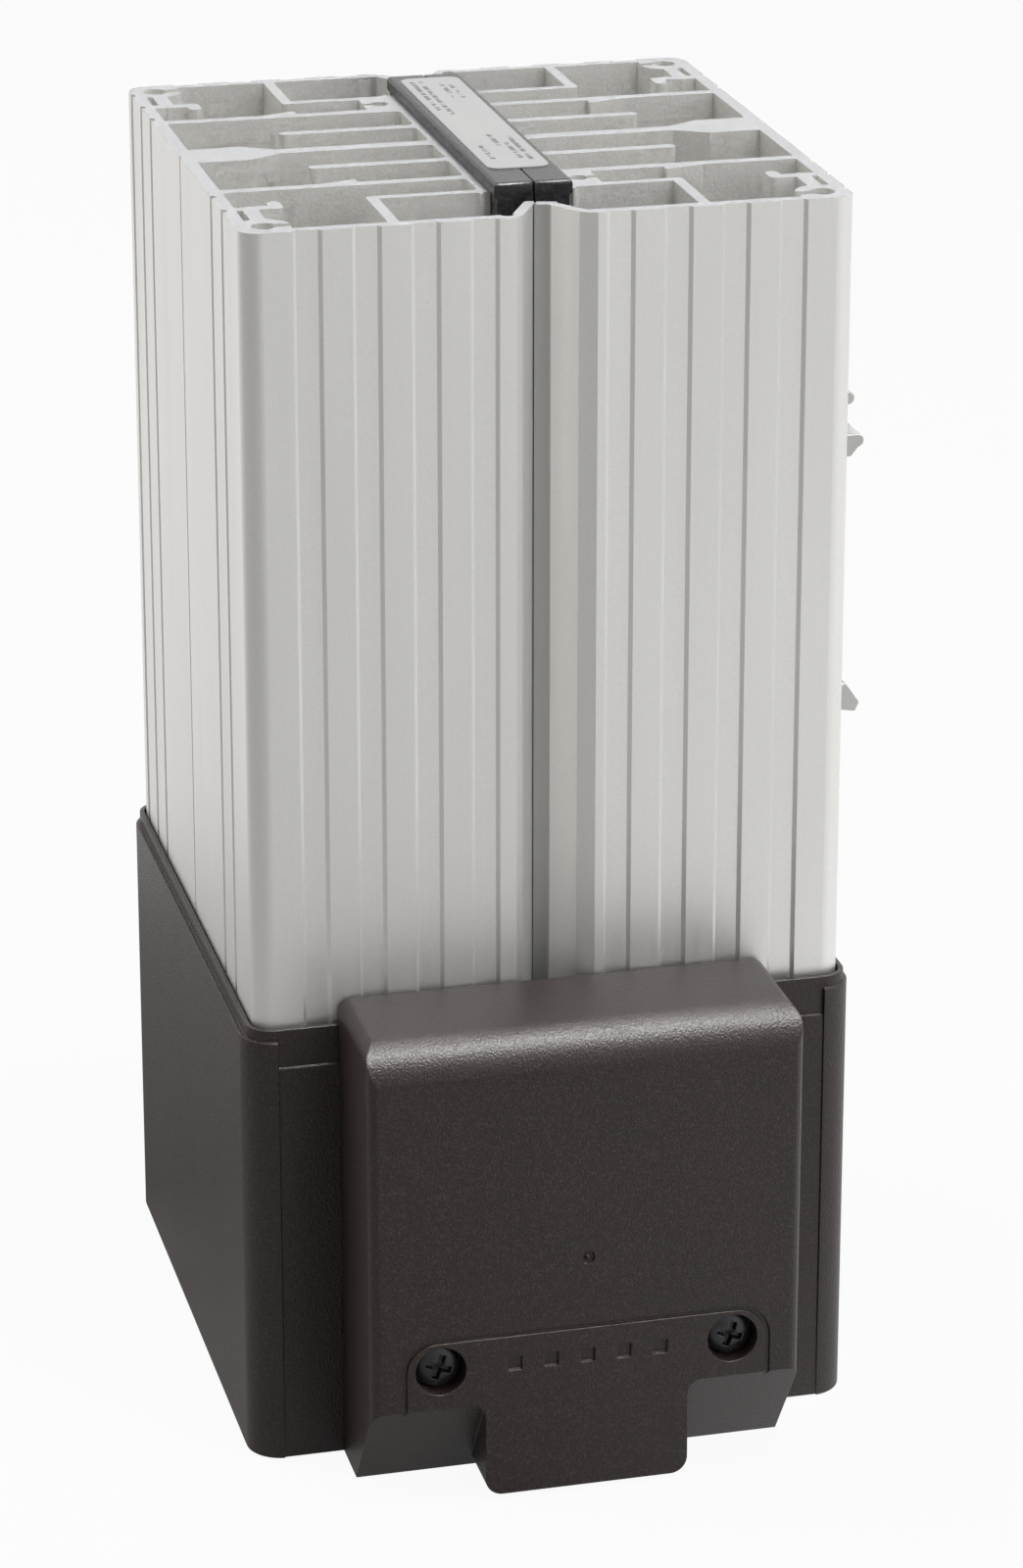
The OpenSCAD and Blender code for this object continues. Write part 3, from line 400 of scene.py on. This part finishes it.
METALS = {
    # colour, roughness, size of the spots in millimetres, share of bare metal
    "screw_black": ((0.07, 0.07, 0.074), 0.3, 0.6, 0.9),
    "screw_zinc": ((0.62, 0.63, 0.66), 0.3, 0.6, 1.0),
    "element_metal": ((0.55, 0.55, 0.56), 0.38, 2.5, 1.0),
    "shaft_steel": ((0.66, 0.67, 0.68), 0.2, 0.3, 1.0),
    "copper_winding": ((0.62, 0.28, 0.13), 0.35, 0.4, 1.0),
    "lug_metal": ((0.66, 0.56, 0.4), 0.33, 0.6, 1.0),
}
for name, values in METALS.items():
    plated_finish(name, *values)
print("metal finishes:", len(METALS))

# %% [markdown]
# ## Label
# The cap carries a white film label with small grey print. The print here is only rows of dashes,
# which say nothing: each row is a narrow band along the label, cut into pieces by noise.
# Ink has no thickness worth modelling, so it belongs in the colour and not in the mesh.

# %% Printed label film
ROW_HALF = 0.34 * MM
PRINT_ROWS = (
    # across, from, to: millimetres on the label
    (-2.9, 9.0, 27.0), (-1.7, 6.5, 27.0), (0.9, 14.0, 25.0), (2.1, 16.0, 25.0),
    (0.2, -12.5, -6.0), (1.4, -20.0, -9.0), (2.6, -21.5, -7.5), (-2.4, -20.0, -12.0),
)
DASH_MM, DASH_STRETCH, DASH_ABOVE = 0.9, 0.7, 0.47
FILM_ROUGHNESS, CLOUDY_MM, RIPPLE_MM, RIPPLE_DEPTH_MM = 0.38, 6, 2.5, 0.01
FILM_DARK, FILM_LIGHT, INK = (0.53, 0.54, 0.54, 1), (0.59, 0.6, 0.6, 1), (0.16, 0.16, 0.17, 1)


def within(tree, value, middle, reach):
    """1 where a value lies less than reach from the middle."""
    away = maths(tree, "ABSOLUTE", maths(tree, "SUBTRACT", value, middle))
    return maths(tree, "LESS_THAN", away, reach)


def print_rows(tree):
    """1 on the bands of all the rows, 0 on the bare film."""
    axes = add(tree, "SeparateXYZ", {0: place(tree)})
    printed = None
    for across, start, end in PRINT_ROWS:
        in_row = within(tree, axes.outputs["X"], across * MM, ROW_HALF)
        in_length = within(tree, axes.outputs["Y"], (start + end) / 2 * MM, (end - start) / 2 * MM)
        row = maths(tree, "MULTIPLY", in_row, in_length)
        printed = row if printed is None else maths(tree, "MAXIMUM", printed, row)
    return printed


def label_finish(name):
    """White film with rows of grey dashes."""
    tree, shader = start_finish(name, Roughness=FILM_ROUGHNESS)
    dashes = noise(tree, place(tree, x=DASH_STRETCH), DASH_MM, 1)
    is_dash = maths(tree, "GREATER_THAN", dashes, DASH_ABOVE)
    is_ink = maths(tree, "MULTIPLY", print_rows(tree), is_dash)
    film = blend(tree, noise(tree, place(tree), CLOUDY_MM), FILM_DARK, FILM_LIGHT)
    ripple = relief(tree, noise(tree, place(tree), RIPPLE_MM), RIPPLE_DEPTH_MM, 0.3)
    wire_up(tree, shader, blend(tree, is_ink, film, INK), ripple)


label_finish("label_film")
print("label rows:", len(PRINT_ROWS))

# %% [markdown]
# ## Finish for every solid
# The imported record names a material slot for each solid. The finishes above use the same names, so
# one loop can hand each CAD solid its finish without a second list to keep in step.

# %% Hand out the finishes
slot_of_node = {part["node"]: part["material_slot"] for part in frame["record"]["subparts"]}
for name, solid in nodes.items():
    solid.data.materials.clear()
    solid.data.materials.append(bpy.data.materials[slot_of_node[name]])
print("solids with a finish:", len(slot_of_node))

# %% [markdown]
# ## Soft edges
# CAD solids have perfectly sharp edges, and no real edge is: a mould has a small radius and a sawn
# edge has a burr. Light catches on these, which tells the eye how big a thing is. A rounding made
# in the shader would be lost in the mesh, so the moulded solids that show, the rail clip and the cover's
# screws get copies with real roundings.
# A bevel folds over where two edges meet at a very sharp angle, as they do where a fillet runs out
# in a flat face. So the copy's triangles are joined to whole faces first, and the thin wedges at
# such points are welded shut.

# %% Weld the thin wedges
SHARP = math.radians(28)
WEDGE = math.radians(25)
WEDGE_REACH = 0.6 * MM


def is_wedge(corner):
    """True where two sharp edges leave a corner nearly side by side."""
    ways = [
        (edge.other_vert(corner).co - corner.co).normalized()
        for edge in corner.link_edges if edge.calc_face_angle(0) > SHARP
    ]
    return any(ways[i].angle(ways[j], 0) < WEDGE for i in range(len(ways)) for j in range(i))


def close_wedges(shape):
    """Welds each wedge's tip to the corners just behind it."""
    for tip in [corner for corner in shape.verts if is_wedge(corner)]:
        if not tip.is_valid:
            continue
        near = [tip]
        for corner in near:
            for edge in corner.link_edges:
                other = edge.other_vert(corner)
                if other not in near and (other.co - tip.co).length < WEDGE_REACH:
                    near.append(other)
        bmesh.ops.pointmerge(shape, verts=near, merge_co=tip.co.copy())


print("edges are sharp above", round(math.degrees(SHARP)), "degrees")

# %% [markdown]
# ## Rounded copies
# The rounding itself is one bevel on every edge that is sharper than the limit above. Moulded pieces
# get more of it than screws. The sawn profiles keep their sharp edges: a rounding there would
# mirror the lamp as a white line that a real saw cut doesn't show. Afterwards the corners are held in
# the solid's own box, and the normals are weighted so that the large faces still look flat.

# %% Copies with soft edges
FINE = 0.002 * MM
SLIVER = 0.02 * MM
SAME_FACE = math.radians(0.6)
ROUNDING_STEPS = 2
EDGE_RADII_MM = {
    "base_housing": 0.12, "terminal_cover": 0.15, "element_cap_left": 0.2, "element_cap_right": 0.2,
    "din_clip": 0.12, "cover_screws": 0.06, "intake_grille": 0.2,
}


def keep_in_box(shape, solid):
    """Presses corners that the rounding pushed a hair past the solid's box back onto it."""
    for axis in range(3):
        places = [corner.co[axis] for corner in solid.vertices]
        low, high = min(places), max(places)
        for corner in shape.verts:
            corner.co[axis] = min(max(corner.co[axis], low), high)


def rounded_mesh(solid, radius):
    """A copy of the solid's mesh with its sharp edges rounded."""
    shape = bmesh.new()
    shape.from_mesh(solid)
    bmesh.ops.remove_doubles(shape, verts=shape.verts, dist=FINE)
    bmesh.ops.dissolve_limit(shape, angle_limit=SAME_FACE, verts=shape.verts, edges=shape.edges)
    close_wedges(shape)
    bmesh.ops.dissolve_degenerate(shape, dist=FINE, edges=shape.edges)
    sharp = [edge for edge in shape.edges if edge.calc_face_angle(0) > SHARP]
    bmesh.ops.bevel(
        shape, geom=sharp, offset=radius, offset_type="OFFSET", segments=ROUNDING_STEPS,
        profile=0.5, affect="EDGES", clamp_overlap=False, miter_outer="ARC", loop_slide=True,
    )
    bmesh.ops.remove_doubles(shape, verts=shape.verts, dist=SLIVER)
    bmesh.ops.dissolve_degenerate(shape, dist=SLIVER, edges=shape.edges)
    keep_in_box(shape, solid)
    mesh = solid.copy()
    shape.to_mesh(mesh)
    shape.free()
    for face in mesh.polygons:
        face.use_smooth = True
    return mesh


def soften(name, radius_mm):
    """Replaces a CAD solid of the housing with a copy whose sharp edges are rounded."""
    piece = bpy.data.objects.new(name + "_soft", rounded_mesh(nodes[name].data, radius_mm * MM))
    scene.collection.objects.link(piece)
    flat_faces = piece.modifiers.new("flat_faces", "WEIGHTED_NORMAL")
    flat_faces.keep_sharp = True
    weighted = piece.evaluated_get(bpy.context.evaluated_depsgraph_get())
    final = bpy.data.meshes.new_from_object(weighted)
    piece.modifiers.clear()
    piece.data = final
    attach(piece, "housing")
    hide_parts(name)
    print(name, "rounded by", radius_mm, "mm,", len(final.polygons), "faces")


for name, radius_mm in EDGE_RADII_MM.items():
    soften(name, radius_mm)

# %% [markdown]
# ## Room
# Satin metal and dark plastic mostly show the room around them, so the room is part of the lighting.
# Here it is bright on the right and darker on the front left, which draws a light line on one side of
# each flute and a dark line on the other. A real studio does this with white and grey screens. The
# same can be had without building them: the Light Path node tells the world which rays come from a
# reflection, and only those see the screens. The camera sees plain white, and everything else a weak
# even light.

# %% Brightness of the room in a reflection
DARK_SIDE = (-0.854, -0.522, 0.0)
ROOM_BRIGHT, ROOM_DARK = 1.0, 0.35
BRIGHT_TILL, DARK_FROM = -0.17, 0.68


def room_in_metal(tree, direction):
    """How bright the room looks in a reflection: it falls off towards its dark side."""
    towards = add(tree, "VectorMath", {0: direction, 1: DARK_SIDE}, operation="DOT_PRODUCT")
    return spread(tree, towards.outputs["Value"], ROOM_BRIGHT, ROOM_DARK, BRIGHT_TILL, DARK_FROM)


def kinds_of_ray(tree):
    """1 for what the camera sees itself, and 1 for what is seen by reflection or through glass."""
    path = add(tree, "LightPath").outputs
    mirrored = maths(tree, "MAXIMUM", path["Is Glossy Ray"], path["Is Transmission Ray"])
    return path["Is Camera Ray"], mirrored


print("room brightness in reflections:", ROOM_DARK, "to", ROOM_BRIGHT)

# %% [markdown]
# ## World
# The world adds two things to the room: a lighter ceiling, and a softbox high up at the front right.
# The softbox draws the highlight along the upper edge of the terminal cover. As it is seen only in
# reflections, it doesn't make the pale metal brighter all over, as a strong lamp would.

# %% World with ceiling and softbox
AMBIENT = 0.07
OVERHEAD = 0.9
SOFTBOX_AT = (0.23, -0.2, 0.952)
SOFTBOX = 27.0
SOFTBOX_RIM, SOFTBOX_CORE = 0.965, 0.99

world = bpy.data.worlds.new("studio")
scene.world = world
world.use_nodes = True
tree = world.node_tree
sky = tree.nodes["Background"]
sky.inputs["Color"].default_value = (1, 1, 1, 1)
direction = add(tree, "TexCoord").outputs["Generated"]
height = maths(tree, "MAXIMUM", add(tree, "SeparateXYZ", {0: direction}).outputs["Z"], 0.0)
ceiling = maths(tree, "MULTIPLY", maths(tree, "POWER", height, 2.0), OVERHEAD)
aside = add(tree, "VectorMath", {0: direction, 1: SOFTBOX_AT}, operation="DOT_PRODUCT")
softbox = spread(tree, aside.outputs["Value"], 0.0, SOFTBOX, SOFTBOX_RIM, SOFTBOX_CORE)
above = maths(tree, "ADD", ceiling, softbox)
room = maths(tree, "ADD", room_in_metal(tree, direction), above)
to_camera, mirrored = kinds_of_ray(tree)
strength = choose(tree, to_camera, choose(tree, mirrored, AMBIENT, room), 1.0)
tree.links.new(strength, sky.inputs["Strength"])
print("ambient light:", AMBIENT, "softbox in reflections:", SOFTBOX)

# %% [markdown]
# ## Floor
# The heater stands on a sheet of white paper. The paper is a plain pale surface that takes a soft
# shadow, mixed with an even glow that keeps it white for the camera. In reflections the glow follows
# the room, and it is weaker behind the heater on the left, where its own shadow falls. That keeps the
# left wall of the base from turning grey.

# %% Paper floor
FLOOR_HALF = 4.0
FLOOR_GAP = 0.2 * MM
WHITE_TO_CAMERA = 0.94
WHITE_IN_METAL = 0.9
PAPER_DARK, PAPER_LIGHT = grey(0.64), grey(0.68)
PAPER_MM = 3
FOOT_AT = (-0.06, 0.1, 0.0)
FOOT_SHADE, FOOT_NEAR, FOOT_FAR = 0.32, 0.055, 0.1


def paper_finish(name):
    """Paper that takes shadow, with a glow that is white to the camera and shaded in reflections."""
    material = bpy.data.materials.new(name)
    material.use_nodes = True
    tree = material.node_tree
    tree.nodes.clear()
    tone = blend(tree, noise(tree, place(tree), PAPER_MM), PAPER_DARK, PAPER_LIGHT)
    lit = add(tree, "BsdfDiffuse", {"Color": tone}).outputs[0]
    to_camera, mirrored = kinds_of_ray(tree)
    outward = add(tree, "VectorMath", {0: place(tree)}, operation="NORMALIZE").outputs["Vector"]
    from_foot = add(tree, "VectorMath", {0: place(tree), 1: FOOT_AT}, operation="DISTANCE")
    shade = spread(tree, from_foot.outputs["Value"], FOOT_SHADE, 1.0, FOOT_NEAR, FOOT_FAR)
    in_reflection = maths(tree, "MULTIPLY", room_in_metal(tree, outward), shade)
    glow = choose(tree, to_camera, in_reflection, 1.0)
    white = add(tree, "Emission", {"Color": (1, 1, 1, 1), "Strength": glow}).outputs[0]
    share_mirrored = maths(tree, "MULTIPLY", mirrored, WHITE_IN_METAL)
    share_to_camera = maths(tree, "MULTIPLY", to_camera, WHITE_TO_CAMERA)
    share = maths(tree, "MAXIMUM", share_mirrored, share_to_camera)
    mixed = add(tree, "MixShader", {0: share, 1: lit, 2: white}).outputs[0]
    add(tree, "OutputMaterial", {"Surface": mixed})
    return material


floor_mesh = bpy.data.meshes.new("floor")
corners = [(FLOOR_HALF * x, FLOOR_HALF * y, 0) for x, y in ((-1, -1), (1, -1), (1, 1), (-1, 1))]
floor_mesh.from_pydata(corners, [], [(0, 1, 2, 3)])
floor_mesh.materials.append(paper_finish("paper"))
floor = bpy.data.objects.new("floor", floor_mesh)
floor.location.z = cad_low.z - FLOOR_GAP
scene.collection.objects.link(floor)
print("floor at z in mm:", round(floor.location.z / MM, 2))

# %% [markdown]
# ## Lamps
# Three square lamps give the shadow and the plain light on pale and dull surfaces. The two at the sides
# would show as white patches in the satin metal, so they are kept out of reflections: there the room
# does their work.

# %% Soft lamps
MIDDLE = Vector((0, 0, 90)) * MM
WARM = (1.0, 0.965, 0.92)


def soft_lamp(name, position, size, watts, tint=(1, 1, 1), in_metal=False):
    """A square lamp, with its place and size in metres, aimed at the heater's middle."""
    data = bpy.data.lights.new(name, "AREA")
    data.shape = "SQUARE"
    data.size = size
    data.energy = watts
    data.color = tint
    lamp = bpy.data.objects.new(name, data)
    lamp.location = position
    lamp.rotation_euler = (MIDDLE - Vector(position)).to_track_quat("-Z", "Y").to_euler()
    lamp.visible_glossy = in_metal
    scene.collection.objects.link(lamp)


soft_lamp("top", (0.23, -0.22, 1.0), 0.3, 3.0, in_metal=True)
soft_lamp("left", (-0.9, 0.5, 0.6), 0.9, 12.0, WARM)
soft_lamp("right", (0.55, -1.0, 0.55), 0.6, 6.5)
